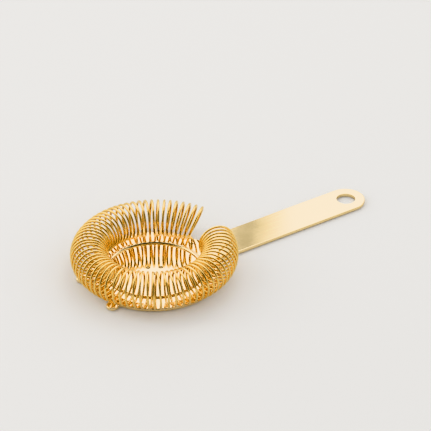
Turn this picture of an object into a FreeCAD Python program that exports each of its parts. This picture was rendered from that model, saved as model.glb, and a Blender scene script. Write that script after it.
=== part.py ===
import FreeCAD, Part
import math
import os
import Sketcher

V = FreeCAD.Vector
UP = V(0, 0, 1)

# A hawthorne strainer: a flat stamped plate with its handle and two prongs in one piece,
# and a long coil spring bent into an open ring that lies on the plate and lifts off to be washed.
# Frame: +X along the handle, +Z up on the spring's side, origin on the plate's flat
# underside at the centre of the round part.

doc = FreeCAD.newDocument("HawthorneStrainer")

# ------------------------------------------------- driving dimensions, in mm and degrees
DIMENSIONS = [
    ("sheet", 1.8, "thickness of the stamped sheet"),
    ("plate_radius", 35.6, "round part of the plate"),
    ("strap_start", 18.0, "where the handle and the prongs begin, inside the round plate"),
    ("handle_half", 10.2, "half the handle strap's width, and the radius of its round end"),
    ("handle_reach", 123.0, "plate centre to the centre of the handle's round end"),
    ("hang_radius", 5.3, "hanging hole, concentric with the handle's end"),
    ("root_round", 3.0, "corner between the handle and the round plate"),
    ("prong_angle", 23.0, "each prong, away from the line opposite the handle"),
    ("prong_half", 3.2, "half a prong's width, and the radius of its round tip"),
    ("prong_reach", 37.9, "plate centre to the centre of a prong's round tip"),
    ("prong_round", 1.2, "corner between a prong and the round plate"),
    ("bead_radius", 25.2, "stiffening bead, a shallow ring just inside the coil"),
    ("bead_width", 2.8, "bead, measured across"),
    ("bead_arch", 1.42, "radius of the bead's arched section"),
    ("hollow_width", 1.8, "hollow under the bead, measured across"),
    ("hollow_arch", 1.0, "radius of the hollow's arched section"),
    ("drain_radius", 1.35, "each drain hole"),
    ("drain_ring", 3.8, "radius of the ring of drain holes"),
    ("drain_count", 3, "drain holes, the first towards the handle"),
    ("wire", 1.2, "spring wire, diameter"),
    ("ring_radius", 33.8, "centre line of the coil where it bends round the plate"),
    ("coil_radius", 9.3, "the coil's own centre line to the wire's centre"),
    ("turns", 66, "turns of the coil"),
    ("coil_start", 18.5, "first turn, round from the handle's line"),
    ("coil_end", 346.0, "last turn, round from the handle's line"),
    ("coil_gap", 0.13, "free height between the resting coil and the plate"),
    ("eased_turns", 9.0, "turns at the start over which the coil eases off the ring"),
    ("eased_out", 1.8, "how much further out the first turn stands"),
    ("eased_yaw", 17.0, "how far the first turn is swung outward"),
    ("eased_lean", 19.0, "how far the top of the first turn leans on towards the handle"),
    ("tail_top", 3.2, "height at which each spring end has turned straight down"),
    ("tail_pull", 5.0, "how strongly each spring end is drawn out of the coil before it turns down"),
    ("tail_tip", 0.2, "height of the spring ends' tips above the underside"),
    ("tail_hole", 0.9, "radius of the two holes that the spring's ends drop into"),
    ("start_foot", 31.0, "plate centre to the hole under the first turn's end"),
    ("start_foot_angle", 18.0, "that hole, round from the handle's line"),
    ("end_foot", 35.5, "plate centre to the hole under the last turn's end"),
    ("end_foot_angle", 346.5, "that hole, round from the handle's line"),
    ("edge_round", 0.4, "polished round on the plate's outline"),
]

sheet = doc.addObject("Spreadsheet::Sheet", "Sizes")
for row, (alias, value, note) in enumerate(DIMENSIONS, start=1):
    sheet.set(f"A{row}", alias)
    sheet.set(f"B{row}", str(value))
    sheet.set(f"C{row}", note)
    sheet.setAlias(f"B{row}", alias)
doc.recompute()
size = {alias: float(sheet.get(alias)) for alias, value, note in DIMENSIONS}


# ------------------------------------------------- sketch helpers
def new_sketch(body, name, role):
    """A sketch on one of the body's own origin planes."""
    sketch = body.newObject("Sketcher::SketchObject", name)
    plane = next(f for f in body.Origin.OriginFeatures if f.Role == role)
    sketch.AttachmentSupport = [(plane, "")]
    sketch.MapMode = "FlatFace"
    return sketch


def tie(sketch, kind, *places):
    sketch.addConstraint(Sketcher.Constraint(kind, *places))


def drive(sketch, name, expression, kind, *places):
    """Add a named dimension to a sketch and bind it to the sheet."""
    index = sketch.addConstraint(Sketcher.Constraint(kind, *places))
    sketch.renameConstraint(index, name)
    sketch.setExpression(f"Constraints.{name}", expression)


def add_circle(sketch, name, radius, along=None, across=None):
    """A circle placed by expressions; with none given for a direction, it lies on that axis."""
    circle = sketch.addGeometry(Part.Circle(V(1, 1, 0), UP, 1))
    for axis, kind, place in ((-2, "DistanceX", along), (-1, "DistanceY", across)):
        if place is None:
            tie(sketch, "PointOnObject", circle, 3, axis)
        else:
            drive(sketch, f"{name}_{kind}", place, kind, -1, 1, circle, 3, 1)
    drive(sketch, f"{name}_radius", radius, "Radius", circle, 1)


def add_tongue(sketch, start, reach, half_width):
    """A strap along the sketch's X axis, square at its start, full round about its reach."""
    near, far, half = size[start], size[reach], size[half_width]
    lower = sketch.addGeometry(Part.LineSegment(V(near, -half, 0), V(far, -half, 0)))
    end = Part.Circle(V(far, 0, 0), UP, half)
    tip = sketch.addGeometry(Part.ArcOfCircle(end, -math.pi / 2, math.pi / 2))
    upper = sketch.addGeometry(Part.LineSegment(V(far, half, 0), V(near, half, 0)))
    back = sketch.addGeometry(Part.LineSegment(V(near, half, 0), V(near, -half, 0)))
    tie(sketch, "Tangent", lower, 2, tip, 1)
    tie(sketch, "Tangent", tip, 2, upper, 1)
    tie(sketch, "Coincident", upper, 2, back, 1)
    tie(sketch, "Coincident", back, 2, lower, 1)
    tie(sketch, "Horizontal", lower)
    tie(sketch, "Vertical", back)
    tie(sketch, "PointOnObject", tip, 3, -1)
    drive(sketch, "start", f"Sizes.{start}", "DistanceX", -1, 1, back, 1, near)
    drive(sketch, "reach", f"Sizes.{reach}", "DistanceX", -1, 1, tip, 3, far)
    drive(sketch, "half_width", f"Sizes.{half_width}", "Radius", tip, half)


def add_arch_section(sketch, width, arch, floor):
    """A shallow arch on a flat base in the XZ plane, over the bead's circle and 'floor' high."""
    middle, half, radius = size["bead_radius"], size[width] / 2, size[arch]
    left, right = V(middle - half, floor, 0), V(middle + half, floor, 0)
    spread = math.asin(half / radius)
    circle = Part.Circle(V(middle, floor - radius * math.cos(spread), 0), UP, radius)
    arc = sketch.addGeometry(Part.ArcOfCircle(circle, math.pi / 2 - spread, math.pi / 2 + spread))
    base = sketch.addGeometry(Part.LineSegment(left, right))
    tie(sketch, "Coincident", arc, 2, base, 1)
    tie(sketch, "Coincident", arc, 1, base, 2)
    tie(sketch, "Horizontal", base)
    if floor:
        drive(sketch, "floor", "Sizes.sheet", "DistanceY", -1, 1, base, 1, floor)
    else:
        tie(sketch, "PointOnObject", base, 1, -1)
    drive(sketch, "middle", "Sizes.bead_radius", "DistanceX", -1, 1, arc, 3, middle)
    drive(sketch, "across", f"Sizes.{width}", "DistanceX", base, 1, base, 2, 2 * half)
    drive(sketch, "arch", f"Sizes.{arch}", "Radius", arc, radius)


# ------------------------------------------------- feature helpers
def pad(body, sketch, name):
    feature = body.newObject("PartDesign::Pad", name)
    feature.Profile = sketch
    feature.setExpression("Length", "Sizes.sheet")
    return feature


def cut_through(body, sketch, name):
    feature = body.newObject("PartDesign::Pocket", name)
    feature.Profile = sketch
    feature.Type = "ThroughAll"
    feature.Midplane = True
    return feature


def repeat_round(body, feature, name, count):
    """Repeat a feature in a full ring about the plate's centre."""
    pattern = body.newObject("PartDesign::PolarPattern", name)
    pattern.Originals = [feature]
    pattern.Axis = (next(f for f in body.Origin.OriginFeatures if f.Role == "Z_Axis"), [""])
    pattern.Angle = 360
    pattern.setExpression("Occurrences", count)
    body.Tip = pattern
    return pattern


def round_edges(body, name, radius, wanted):
    """Fillet the edges of the body's present shape that 'wanted' picks."""
    doc.recompute()
    base = body.Tip
    picked = [f"Edge{n}" for n, edge in enumerate(base.Shape.Edges, start=1) if wanted(edge)]
    if not picked:
        raise RuntimeError(f"{name}: no edge to round")
    feature = body.newObject("PartDesign::Fillet", name)
    feature.Base = (base, picked)
    feature.setExpression("Radius", radius)
    return feature


def is_corner(edge):
    """An upright edge, as in a corner where a strap leaves the round plate."""
    ends = [v.Point for v in edge.Vertexes]
    return len(ends) == 2 and math.hypot(ends[0].x - ends[1].x, ends[0].y - ends[1].y) < 1e-6


def middle_radius(edge):
    point = edge.valueAt((edge.FirstParameter + edge.LastParameter) / 2)
    return math.hypot(point.x, point.y)


# ------------------------------------------------- plate, handle and prongs, one stamping
def make_plate():
    body = doc.addObject("PartDesign::Body", "PlateBody")
    body.Label = "strainer_plate"

    disc = new_sketch(body, "DiscOutline", "XY_Plane")
    add_circle(disc, "rim", "Sizes.plate_radius")
    pad(body, disc, "Disc")

    strap = new_sketch(body, "HandleOutline", "XY_Plane")
    add_tongue(strap, "strap_start", "handle_reach", "handle_half")
    pad(body, strap, "Handle")

    prong = new_sketch(body, "ProngOutline", "XY_Plane")
    prong.AttachmentOffset = FreeCAD.Placement(V(), FreeCAD.Rotation(UP, 180))
    prong.setExpression("AttachmentOffset.Rotation.Angle", "180 - Sizes.prong_angle")
    add_tongue(prong, "strap_start", "prong_reach", "prong_half")
    first_prong = pad(body, prong, "Prong")
    prongs = body.newObject("PartDesign::Mirrored", "Prongs")
    prongs.Originals = [first_prong]
    prongs.MirrorPlane = (next(f for f in body.Origin.OriginFeatures if f.Role == "XZ_Plane"), [""])
    body.Tip = prongs

    def at_handle(edge):
        return is_corner(edge) and edge.Vertexes[0].X > 0 and middle_radius(edge) < size["plate_radius"] + 1

    def at_prong(edge):
        return is_corner(edge) and edge.Vertexes[0].X < 0 and middle_radius(edge) < size["plate_radius"] + 1

    round_edges(body, "HandleRoots", "Sizes.root_round", at_handle)
    round_edges(body, "ProngRoots", "Sizes.prong_round", at_prong)
    round_edges(body, "OutlineRound", "Sizes.edge_round", lambda edge: not is_corner(edge))

    # The bead is pressed up out of the sheet, so it stands above and is hollow below.
    ridge = new_sketch(body, "BeadSection", "XZ_Plane")
    add_arch_section(ridge, "bead_width", "bead_arch", size["sheet"])
    bead = body.newObject("PartDesign::Revolution", "Bead")
    hollow = new_sketch(body, "BeadHollowSection", "XZ_Plane")
    add_arch_section(hollow, "hollow_width", "hollow_arch", 0)
    groove = body.newObject("PartDesign::Groove", "BeadHollow")
    for feature, section in ((bead, ridge), (groove, hollow)):
        feature.Profile = section
        feature.ReferenceAxis = (section, ["V_Axis"])
        feature.Angle = 360

    drain = new_sketch(body, "DrainHole", "XY_Plane")
    add_circle(drain, "drain", "Sizes.drain_radius", along="Sizes.drain_ring")
    first_drain = cut_through(body, drain, "DrainHoleCut")
    repeat_round(body, first_drain, "DrainHoles", "Sizes.drain_count")

    hang = new_sketch(body, "HangingHole", "XY_Plane")
    add_circle(hang, "hang", "Sizes.hang_radius", along="Sizes.handle_reach")
    cut_through(body, hang, "HangingHoleCut")

    # Each hole stands under one of the spring's two ends.
    ends = new_sketch(body, "SpringEndHoles", "XY_Plane")
    for name in ("start_foot", "end_foot"):
        along, across = (f"Sizes.{name} * {wave}(Sizes.{name}_angle)" for wave in ("cos", "sin"))
        add_circle(ends, name, "Sizes.tail_hole", along=along, across=across)
    cut_through(body, ends, "SpringEndHolesCut")
    return body


# ------------------------------------------------- coil spring
def on_ring(radius, angle, height=0.0):
    turn = math.radians(angle)
    return V(radius * math.cos(turn), radius * math.sin(turn), height)


def coil_frame(halves):
    """The coil after a number of half turns: its middle, and its outward and upward directions.

    The coil follows the ring, upright, except that its first turns ease off the ring:
    they stand further out, swing outward and lean on towards the handle.
    """
    step = (size["coil_end"] - size["coil_start"]) / (2 * int(size["turns"]) + 1)
    angle = size["coil_start"] + step * halves
    ease = max(0.0, 1 - halves / (2 * size["eased_turns"])) ** 2
    facing = angle + size["eased_yaw"] * ease
    lean = math.radians(size["eased_lean"] * ease)
    height = size["sheet"] + size["coil_gap"] + size["wire"] / 2 + size["coil_radius"]
    centre = on_ring(size["ring_radius"] + size["eased_out"] * ease, angle, height)
    upward = on_ring(math.sin(lean), facing - 90, math.cos(lean))
    return centre, on_ring(1, facing), upward


def coil_point(halves):
    """The wire's centre: inner side at whole turns, then over the top to the outer side and back under."""
    centre, outward, upward = coil_frame(halves)
    turn = math.pi * halves
    return centre + (upward * math.sin(turn) - outward * math.cos(turn)) * size["coil_radius"]


def half_turn(number):
    """One half turn, upright at both ends so that each meets the next with no kink.

    A plain arc does on the ring; where the coil eases off it, a curve through points of the coil.
    """
    start, end = coil_point(number), coil_point(number + 1)
    rise = 1 if number % 2 == 0 else -1
    if number >= 2 * size["eased_turns"]:
        half_span = start.distanceToPoint(end) / 2
        return Part.Arc(start, (start + end) / 2 + UP * rise * half_span, end).toShape()
    curve = Part.BSplineCurve()
    curve.interpolate(
        Points=[coil_point(number + share / 4) for share in range(5)],
        InitialTangent=coil_frame(number)[2] * rise,
        FinalTangent=coil_frame(number + 1)[2] * -rise,
    )
    return curve.toShape()


def tail(halves, name):
    """A spring end, drawn from the coil's inner or outer side until it drops straight into its hole."""
    start, downward = coil_point(halves), coil_frame(halves)[2] * -size["tail_pull"]
    top = on_ring(size[name], size[f"{name}_angle"], size["tail_top"])
    curve = Part.BezierCurve()
    curve.setPoles([start, start + downward, top + UP * size["tail_pull"], top])
    return [curve.toShape(), Part.LineSegment(top, V(top.x, top.y, size["tail_tip"])).toShape()]


def spring_path():
    """The wire's centre line, from the first turn's foot to the last turn's."""
    halves = 2 * int(size["turns"]) + 1
    edges = tail(0, "start_foot")[::-1]
    edges += [half_turn(number) for number in range(halves)]
    edges += tail(halves, "end_foot")
    return Part.Wire(Part.__sortEdges__(edges))


def make_spring():
    path = doc.addObject("Part::Feature", "SpringPath")
    path.Shape = spring_path()
    section = doc.addObject("Part::Circle", "WireSection")
    section.setExpression("Radius", "Sizes.wire / 2")
    foot = path.Shape.Vertexes[0].Point
    section.Placement = FreeCAD.Placement(foot, FreeCAD.Rotation())
    spring = doc.addObject("Part::Sweep", "Spring")
    spring.Label = "coil_spring"
    spring.Sections = [section]
    spring.Spine = (path, [f"Edge{n + 1}" for n in range(len(path.Shape.Edges))])
    spring.Solid = True
    spring.Frenet = False
    return spring


# ------------------------------------------------- build, check and write
parts = [make_plate(), make_spring()]
doc.recompute()

for item in doc.Objects:
    if "Invalid" in item.State or "Error" in item.State:
        raise RuntimeError(f"{item.Label} did not build: {item.State}")
for item in parts:
    if item.Shape.isNull() or not item.Shape.isValid() or len(item.Shape.Solids) != 1:
        raise RuntimeError(f"{item.Label} is not one valid solid")

os.makedirs("parts", exist_ok=True)
for item in parts:
    item.Shape.exportStep(f"parts/{item.Label}.step")
    box = item.Shape.optimalBoundingBox(False)
    print(
        f"{item.Label}: {item.Shape.Volume:.1f} mm3,",
        f"x {box.XMin:.2f}..{box.XMax:.2f}, y {box.YMin:.2f}..{box.YMax:.2f}, z {box.ZMin:.2f}..{box.ZMax:.2f}",
    )
wire_area = math.pi * (size["wire"] / 2) ** 2
path_length = doc.getObject("SpringPath").Shape.Length
print(f"spring wire {path_length:.0f} mm long, {wire_area * path_length:.1f} mm3 by section times length")
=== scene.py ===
import math
import bpy
import numpy as np
from mathutils import Matrix, Vector


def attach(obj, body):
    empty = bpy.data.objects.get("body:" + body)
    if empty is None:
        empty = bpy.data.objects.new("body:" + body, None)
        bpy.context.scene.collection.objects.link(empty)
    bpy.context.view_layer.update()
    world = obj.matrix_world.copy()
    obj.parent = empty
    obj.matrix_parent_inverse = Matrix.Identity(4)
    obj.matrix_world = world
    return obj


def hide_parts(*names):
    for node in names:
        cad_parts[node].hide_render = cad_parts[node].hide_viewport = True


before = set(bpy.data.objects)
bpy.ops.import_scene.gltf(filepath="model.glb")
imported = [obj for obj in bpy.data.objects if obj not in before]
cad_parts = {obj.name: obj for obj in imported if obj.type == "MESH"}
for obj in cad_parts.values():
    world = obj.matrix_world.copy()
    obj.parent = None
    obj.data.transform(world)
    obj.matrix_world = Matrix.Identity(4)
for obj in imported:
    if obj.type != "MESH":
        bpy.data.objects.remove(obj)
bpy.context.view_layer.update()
mm = 0.001
print("frame loaded:", ", ".join(sorted(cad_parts)))


def addPiece(name, points, faces):
    mesh = bpy.data.meshes.new(name)
    mesh.from_pydata(points.tolist(), [], faces)
    mesh.polygons.foreach_set("use_smooth", np.ones(len(mesh.polygons), dtype=bool))
    mesh.update()
    piece = bpy.data.objects.new(name, mesh)
    bpy.context.scene.collection.objects.link(piece)
    return piece


def addNode(tree, kind, place=(0, 0), **settings):
    node = tree.nodes.new(kind)
    node.location = place
    for key, value in settings.items():
        setattr(node, key, value)
    return node


def setInputs(node, **values):
    for name, value in values.items():
        node.inputs[name].default_value = value


# The coil spring: one wire, wound round a circle that itself goes round the plate.
coil = {
    "ringRadius": 33.8 * mm,      # centre line of the coil round the plate
    "coilRadius": 9.3 * mm,       # to the wire's centre
    "wireRadius": 0.6 * mm,
    "turns": 66,
    "startAngle": 18.5,           # degrees round from the handle
    "endAngle": 346.0,
    "plateTop": 1.8 * mm,
    "restGap": 0.13 * mm,         # under the lowest turns
    "easedTurns": 9.0,            # turns at the start that ease off the ring
    "easedOut": 1.8 * mm,         # first turn: how much further out
    "easedYaw": 17.0,             # first turn: degrees swung outward
    "easedLean": 19.0,            # first turn: degrees leaning on towards the handle
    "unevenPitch": 0.10,          # of one turn's spacing
    "pitchWaves": ((1.0, 43, 0.0), (0.7, 97, 1.3), (0.5, 171, 2.1)),    # size, rate, start
    "unevenLean": 1.2,            # degrees
    "leanWaves": ((1.0, 61, 0.4), (0.6, 139, 0.0)),
    "tailTop": 3.2 * mm,
    "tailPull": 5.0 * mm,
    "tailTip": 0.2 * mm,
    "startFoot": (31.0 * mm, 18.0),    # reach from the plate's centre, degrees round
    "endFoot": (35.5 * mm, 346.5),
    "stepsPerTurn": 60,
    "tailSteps": 40,
    "sides": 14,
}


def onRing(radius, degrees, height):
    angle = np.radians(degrees)
    return np.stack(np.broadcast_arrays(radius * np.cos(angle), radius * np.sin(angle), height), -1)


def waveSum(waves, share):
    # Sum of size * sin(rate * share + start), brought to nothing at both ends of the coil.
    swing = sum(tall * np.sin(share * rate + start) for tall, rate, start in waves)
    return np.sin(np.pi * share) * swing


def coilPath():
    # Point(t) = middle(t) - radius * cos(2 pi t) * outward(t) + radius * sin(2 pi t) * upward(t), t in turns,
    # where middle goes round the plate and outward and upward turn with it.
    turns = coil["turns"] + 0.5
    turn = np.linspace(0, turns, int(turns * coil["stepsPerTurn"]) + 1)
    share = turn / turns
    pitch = (coil["endAngle"] - coil["startAngle"]) / turns
    angle = coil["startAngle"] + pitch * (turn + coil["unevenPitch"] * waveSum(coil["pitchWaves"], share))
    ease = np.clip(1 - turn / coil["easedTurns"], 0, None) ** 2
    lean = np.radians(coil["easedLean"] * ease + coil["unevenLean"] * waveSum(coil["leanWaves"], share))
    facing = angle + coil["easedYaw"] * ease
    height = coil["plateTop"] + coil["restGap"] + coil["wireRadius"] + coil["coilRadius"]
    middle = onRing(coil["ringRadius"] + coil["easedOut"] * ease, angle, height)
    outward = onRing(1.0, facing, 0.0)
    upward = onRing(np.sin(lean), facing - 90, np.cos(lean))
    around = (2 * np.pi * turn)[:, None]
    spoke = np.sin(around) * upward - np.cos(around) * outward
    wound = middle + coil["coilRadius"] * spoke

    def tail(start, downward, foot):
        # A cubic curve from the coil's side to the foot's top, then straight down into its hole.
        top = onRing(*foot, coil["tailTop"])
        pull = coil["tailPull"]
        t = np.linspace(0, 1, coil["tailSteps"])[1:, None]
        near, far = start + downward * pull, top + np.array([0, 0, pull])
        curve = (1 - t) ** 3 * start + 3 * (1 - t) ** 2 * t * near + 3 * (1 - t) * t ** 2 * far + t ** 3 * top
        drop = np.linspace(coil["tailTop"], coil["tailTip"], 6)[1:]
        return np.vstack([curve, onRing(*foot, drop)])

    first = tail(wound[0], -upward[0], coil["startFoot"])
    last = tail(wound[-1], -upward[-1], coil["endFoot"])
    path = np.vstack([first[::-1], wound, last])
    return path, np.pad(spoke, ((len(first), len(last)), (0, 0)), mode="edge")


def tubeAlong(path, spoke, radius, sides):
    # Round section: path point + radius * (cos(a) * side + sin(a) * other), where side is the spoke
    # made square to the path and other is square to both.
    along = np.gradient(path, axis=0)
    along /= np.linalg.norm(along, axis=1, keepdims=True)
    side = spoke - along * np.sum(along * spoke, axis=1, keepdims=True)
    side /= np.linalg.norm(side, axis=1, keepdims=True)
    other = np.cross(along, side)
    a = np.linspace(0, 2 * np.pi, sides, endpoint=False)[None, :, None]
    rings = path[:, None] + radius * (np.cos(a) * side[:, None] + np.sin(a) * other[:, None])
    points = np.vstack([rings.reshape(-1, 3), path[:1], path[-1:]])
    i = np.arange(len(path) - 1)[:, None] * sides
    j = np.arange(sides)[None, :]
    k = (j + 1) % sides
    quads = np.stack([i + j, i + k, i + sides + k, i + sides + j], -1).reshape(-1, 4)
    j, k, last = j[0], k[0], (len(path) - 1) * sides
    start = np.stack([np.full(sides, len(points) - 2), k, j], -1)
    end = np.stack([np.full(sides, len(points) - 1), last + j, last + k], -1)
    return points, quads.tolist() + start.tolist() + end.tolist()


spring = addPiece("springWire", *tubeAlong(*coilPath(), coil["wireRadius"], coil["sides"]))
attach(spring, "spring")
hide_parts("coil_spring")
print("spring wire:", len(spring.data.polygons), "faces")


finish = {
    "sheetColour": (0.97, 0.76, 0.40),
    "wireColour": (0.93, 0.645, 0.22),
    "sheetRoughness": 0.045,
    "wireRoughness": 0.15,
    "smudgeScale": 45.0,          # per metre
    "smudgeRange": (0.75, 1.6),   # times the roughness, from the clean places to the smudged ones
    "hairlineScale": 900.0,
    "hairlineStretch": (0.03, 1, 1),    # long along the handle
    "hairlineHeight": 0.02 * mm,
    "sheetHairlines": 0.12,       # strength
    "wireHairlines": 0.0,
}


def wearGroup():
    group = bpy.data.node_groups.new("polishWear", "ShaderNodeTree")
    face = group.interface
    face.new_socket("Place", in_out="INPUT", socket_type="NodeSocketVector")
    face.new_socket("Roughness", in_out="INPUT", socket_type="NodeSocketFloat")
    face.new_socket("Hairlines", in_out="INPUT", socket_type="NodeSocketFloat")
    face.new_socket("Roughness", in_out="OUTPUT", socket_type="NodeSocketFloat")
    face.new_socket("Normal", in_out="OUTPUT", socket_type="NodeSocketVector")
    start = addNode(group, "NodeGroupInput", (-900, 0))
    end = addNode(group, "NodeGroupOutput", (500, 0))
    smudge = addNode(group, "ShaderNodeTexNoise", (-600, 200))
    setInputs(smudge, Scale=finish["smudgeScale"], Detail=3.0, Roughness=0.55)
    spread = addNode(group, "ShaderNodeMapRange", (-350, 200))
    clean, smudged = finish["smudgeRange"]
    setInputs(spread, **{"From Min": 0.35, "From Max": 0.7, "To Min": clean, "To Max": smudged})
    rough = addNode(group, "ShaderNodeMath", (-100, 200), operation="MULTIPLY")
    stretch = addNode(group, "ShaderNodeVectorMath", (-750, -200), operation="MULTIPLY")
    stretch.inputs[1].default_value = finish["hairlineStretch"]
    lines = addNode(group, "ShaderNodeTexNoise", (-550, -200))
    setInputs(lines, Scale=finish["hairlineScale"], Detail=4.0)
    bump = addNode(group, "ShaderNodeBump", (-100, -200))
    setInputs(bump, Distance=finish["hairlineHeight"])
    link = group.links.new
    link(start.outputs["Place"], smudge.inputs["Vector"])
    link(smudge.outputs["Fac"], spread.inputs["Value"])
    link(spread.outputs["Result"], rough.inputs[0])
    link(start.outputs["Roughness"], rough.inputs[1])
    link(start.outputs["Place"], stretch.inputs[0])
    link(stretch.outputs["Vector"], lines.inputs["Vector"])
    link(lines.outputs["Fac"], bump.inputs["Height"])
    link(start.outputs["Hairlines"], bump.inputs["Strength"])
    link(rough.outputs["Value"], end.inputs["Roughness"])
    link(bump.outputs["Normal"], end.inputs["Normal"])
    return group


polishWear = wearGroup()


def goldMaterial(name, colour, roughness, hairlines):
    material = bpy.data.materials.new(name)
    material.use_nodes = True
    tree = material.node_tree
    shader = tree.nodes["Principled BSDF"]
    setInputs(shader, **{"Base Color": (*colour, 1), "Metallic": 1.0})
    wear = addNode(tree, "ShaderNodeGroup", (-300, 0), node_tree=polishWear)
    setInputs(wear, Roughness=roughness, Hairlines=hairlines)
    place = addNode(tree, "ShaderNodeTexCoord", (-550, 0))
    tree.links.new(place.outputs["Object"], wear.inputs["Place"])
    tree.links.new(wear.outputs["Roughness"], shader.inputs["Roughness"])
    tree.links.new(wear.outputs["Normal"], shader.inputs["Normal"])
    return material


def goldFor(part):
    colour, roughness, hairlines = (finish[part + what] for what in ("Colour", "Roughness", "Hairlines"))
    return goldMaterial(part + "Gold", colour, roughness, hairlines)


wireGold, sheetGold = goldFor("wire"), goldFor("sheet")
spring.data.materials.append(wireGold)
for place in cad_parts["strainer_plate"].material_slots:
    place.material = sheetGold
print("finishes made")


shot = {
    "elevation": 33.0,            # degrees above the floor
    "azimuth": -33.7,             # degrees round from looking along +Y
    "distance": 1.352,
    "width": 224.1 * mm,          # how much the picture takes in at the plate
    "aimRight": 31.7 * mm,        # its middle, from the plate's centre
    "aimUp": 28.1 * mm,
}
azimuth, elevation = math.radians(shot["azimuth"]), math.radians(shot["elevation"])
right = Vector((math.cos(azimuth), math.sin(azimuth), 0))
ahead = Vector((-math.sin(azimuth), math.cos(azimuth), 0))
up = Vector((0, 0, 1))
looking = ahead * math.cos(elevation) - up * math.sin(elevation)
upward = right.cross(looking)
aim = right * shot["aimRight"] + upward * shot["aimUp"] + up * coil["plateTop"]
camera = bpy.data.objects.new("camera", bpy.data.cameras.new("camera"))
bpy.context.scene.collection.objects.link(camera)
bpy.context.scene.camera = camera
camera.data.sensor_width = 36
camera.data.lens = camera.data.sensor_width * shot["distance"] / shot["width"]
facing = Matrix((right, upward, -looking)).transposed().to_4x4()
camera.matrix_world = Matrix.Translation(aim - looking * shot["distance"]) @ facing


# What the gold sees all round is drawn in the world: a dim room with soft boxes in it. A box's edges are
# given as shares of a full look upward, ahead or to one side, from where it is dark to where it is full.
studio = {
    "floorColour": (0.81, 0.805, 0.80),
    "floorSize": 6.0,
    "floorLevel": -0.3 * mm,
    "fill": 0.90,                 # the even light on the floor and on anything that isn't shiny
    "roomColour": (1.0, 0.985, 0.96, 1),
    "dark": 0.06,                 # the dim room
    "backBox": 2.10,              # a soft box beyond the object
    "backColour": (1.0, 1.05, 1.36, 1),
    "backLow": (0.36, 0.50),      # its lower edge, upward
    "backSides": (0.15, 0.40),    # its sides, ahead
    "gap": 0.75,                  # share of its light lost in a narrow upright gap
    "gapLeft": (-0.004, 0.011),   # the gap's edges, sideways over ahead
    "gapRight": (0.0165, 0.036),
    "backdrop": 0.75,             # the paler wall under the box
    "wallSides": (0.15, 0.50),
    "topBox": 0.95,               # a box overhead
    "topLow": (0.74, 0.90),
    "topFront": (-0.30, 0.00),    # how far towards the viewer it reaches
    "leftBox": 0.90,              # and one at each side
    "leftEdge": (-0.62, -0.82),
    "rightBox": 0.70,
    "rightEdge": (0.70, 0.88),
    "keyPanel": {"ahead": 0.9, "right": 0.25, "up": 1.2, "size": (0.7, 0.7), "power": 2.0},
    "sidePanel": {"ahead": 0.2, "right": -1.1, "up": 0.8, "size": (0.5, 0.9), "power": 2.4},
    "exposure": 0.07,
}
size, level = studio["floorSize"], studio["floorLevel"]
corners = np.array([(-size, -size, level), (size, -size, level), (size, size, level), (-size, size, level)])
floor = addPiece("floor", corners, [(0, 1, 2, 3)])
floorPaint = bpy.data.materials.new("floorPaint")
floorPaint.use_nodes = True
paper = floorPaint.node_tree.nodes["Principled BSDF"]
setInputs(paper, **{"Base Color": (*studio["floorColour"], 1), "Roughness": 1.0, "Specular IOR Level": 0.0})
floor.data.materials.append(floorPaint)

world = bpy.data.worlds.new("studio")
bpy.context.scene.world = world
world.use_nodes = True
tree = world.node_tree
link = tree.links.new
direction = addNode(tree, "ShaderNodeTexCoord", (-1600, 0)).outputs["Generated"]


def reachAlong(way, place):
    node = addNode(tree, "ShaderNodeVectorMath", (-1400, place), operation="DOT_PRODUCT")
    node.inputs[1].default_value = way
    link(direction, node.inputs[0])
    return node.outputs["Value"]


def combine(kind, first, second, place):
    node = addNode(tree, "ShaderNodeMath", place, operation=kind)
    for socket, value in zip(node.inputs, (first, second)):
        if isinstance(value, float):
            socket.default_value = value
        else:
            link(value, socket)
    return node.outputs["Value"]


def ramp(value, edges, place, brightness=1.0):
    node = addNode(tree, "ShaderNodeMapRange", (-1000, place), interpolation_type="SMOOTHSTEP")
    setInputs(node, **{"From Min": edges[0], "From Max": edges[1], "To Min": 0.0, "To Max": brightness})
    link(value, node.inputs["Value"])
    return node.outputs["Result"]


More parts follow.
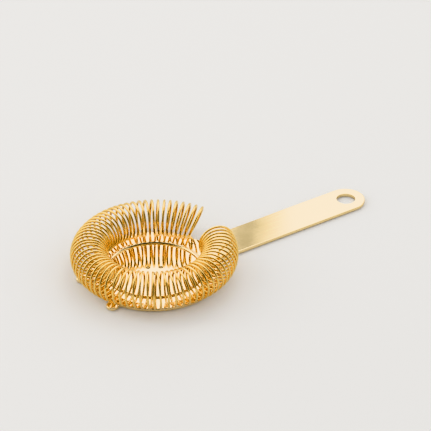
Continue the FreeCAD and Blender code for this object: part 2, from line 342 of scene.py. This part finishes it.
skyward, onward, sideways = reachAlong(up, 600), reachAlong(ahead, 200), reachAlong(right, -200)
aside = combine("DIVIDE", sideways, onward, (-1200, -400))
gapLeft, gapRight = ramp(aside, studio["gapLeft"], -400), ramp(aside, studio["gapRight"], -600)
gap = combine("SUBTRACT", gapLeft, gapRight, (-800, -500))
lost = combine("MULTIPLY", gap, studio["gap"], (-600, -500))
kept = combine("SUBTRACT", 1.0, lost, (-400, -500))
backLow, backSides = ramp(skyward, studio["backLow"], 800), ramp(onward, studio["backSides"], 600)
backArea = combine("MULTIPLY", backLow, backSides, (-800, 700))
backShape = combine("MULTIPLY", backArea, kept, (-200, 500))
topLow, topFront = ramp(skyward, studio["topLow"], 400), ramp(onward, studio["topFront"], 200)
topShape = combine("MULTIPLY", topLow, topFront, (-800, 300))
wallSides, wallTop = ramp(onward, studio["wallSides"], 1000), ramp(skyward, studio["backLow"][::-1], 1200)
wallShape = combine("MULTIPLY", wallSides, wallTop, (-800, 1100))
bright = combine("MULTIPLY", backShape, studio["backBox"], (0, 400))
topBox = combine("MULTIPLY", topShape, studio["topBox"], (0, 200))
backdrop = combine("MULTIPLY", wallShape, studio["backdrop"], (0, 600))
leftBox = ramp(sideways, studio["leftEdge"], 0, studio["leftBox"])
rightBox = ramp(sideways, studio["rightEdge"], -200, studio["rightBox"])
for box in (topBox, leftBox, rightBox, backdrop, studio["dark"]):
    bright = combine("ADD", bright, box, (200, 200))

# Shiny surfaces see the boxes; everything else gets the even fill.
path = addNode(tree, "ShaderNodeLightPath", (200, 600))
strength = addNode(tree, "ShaderNodeMix", (400, 200), data_type="FLOAT")
strength.inputs["A"].default_value = studio["fill"]
link(path.outputs["Is Glossy Ray"], strength.inputs["Factor"])
link(bright, strength.inputs["B"])
tint = addNode(tree, "ShaderNodeMix", (400, 500), data_type="RGBA")
tint.inputs[6].default_value = studio["roomColour"]    # A and B among its colour sockets
tint.inputs[7].default_value = studio["backColour"]
backCore = combine("POWER", backShape, 3.0, (0, 800))
link(combine("MULTIPLY", backCore, path.outputs["Is Glossy Ray"], (200, 800)), tint.inputs["Factor"])
background = tree.nodes["Background"]
link(tint.outputs[2], background.inputs["Color"])
link(strength.outputs["Result"], background.inputs["Strength"])


def lightPanel(name, inReflections):
    values = studio[name]
    light = bpy.data.lights.new(name, "AREA")
    light.shape = "RECTANGLE"
    light.size, light.size_y = values["size"]
    light.energy = values["power"]
    panel = bpy.data.objects.new(name, light)
    bpy.context.scene.collection.objects.link(panel)
    panel.location = ahead * values["ahead"] + right * values["right"] + up * values["up"]
    panel.rotation_euler = (-panel.location).to_track_quat("-Z", "Y").to_euler()
    panel.visible_glossy = inReflections


lightPanel("keyPanel", False)
lightPanel("sidePanel", True)
bpy.context.scene.view_settings.view_transform = "Khronos PBR Neutral"
bpy.context.scene.view_settings.exposure = studio["exposure"]
print("stage and light set")
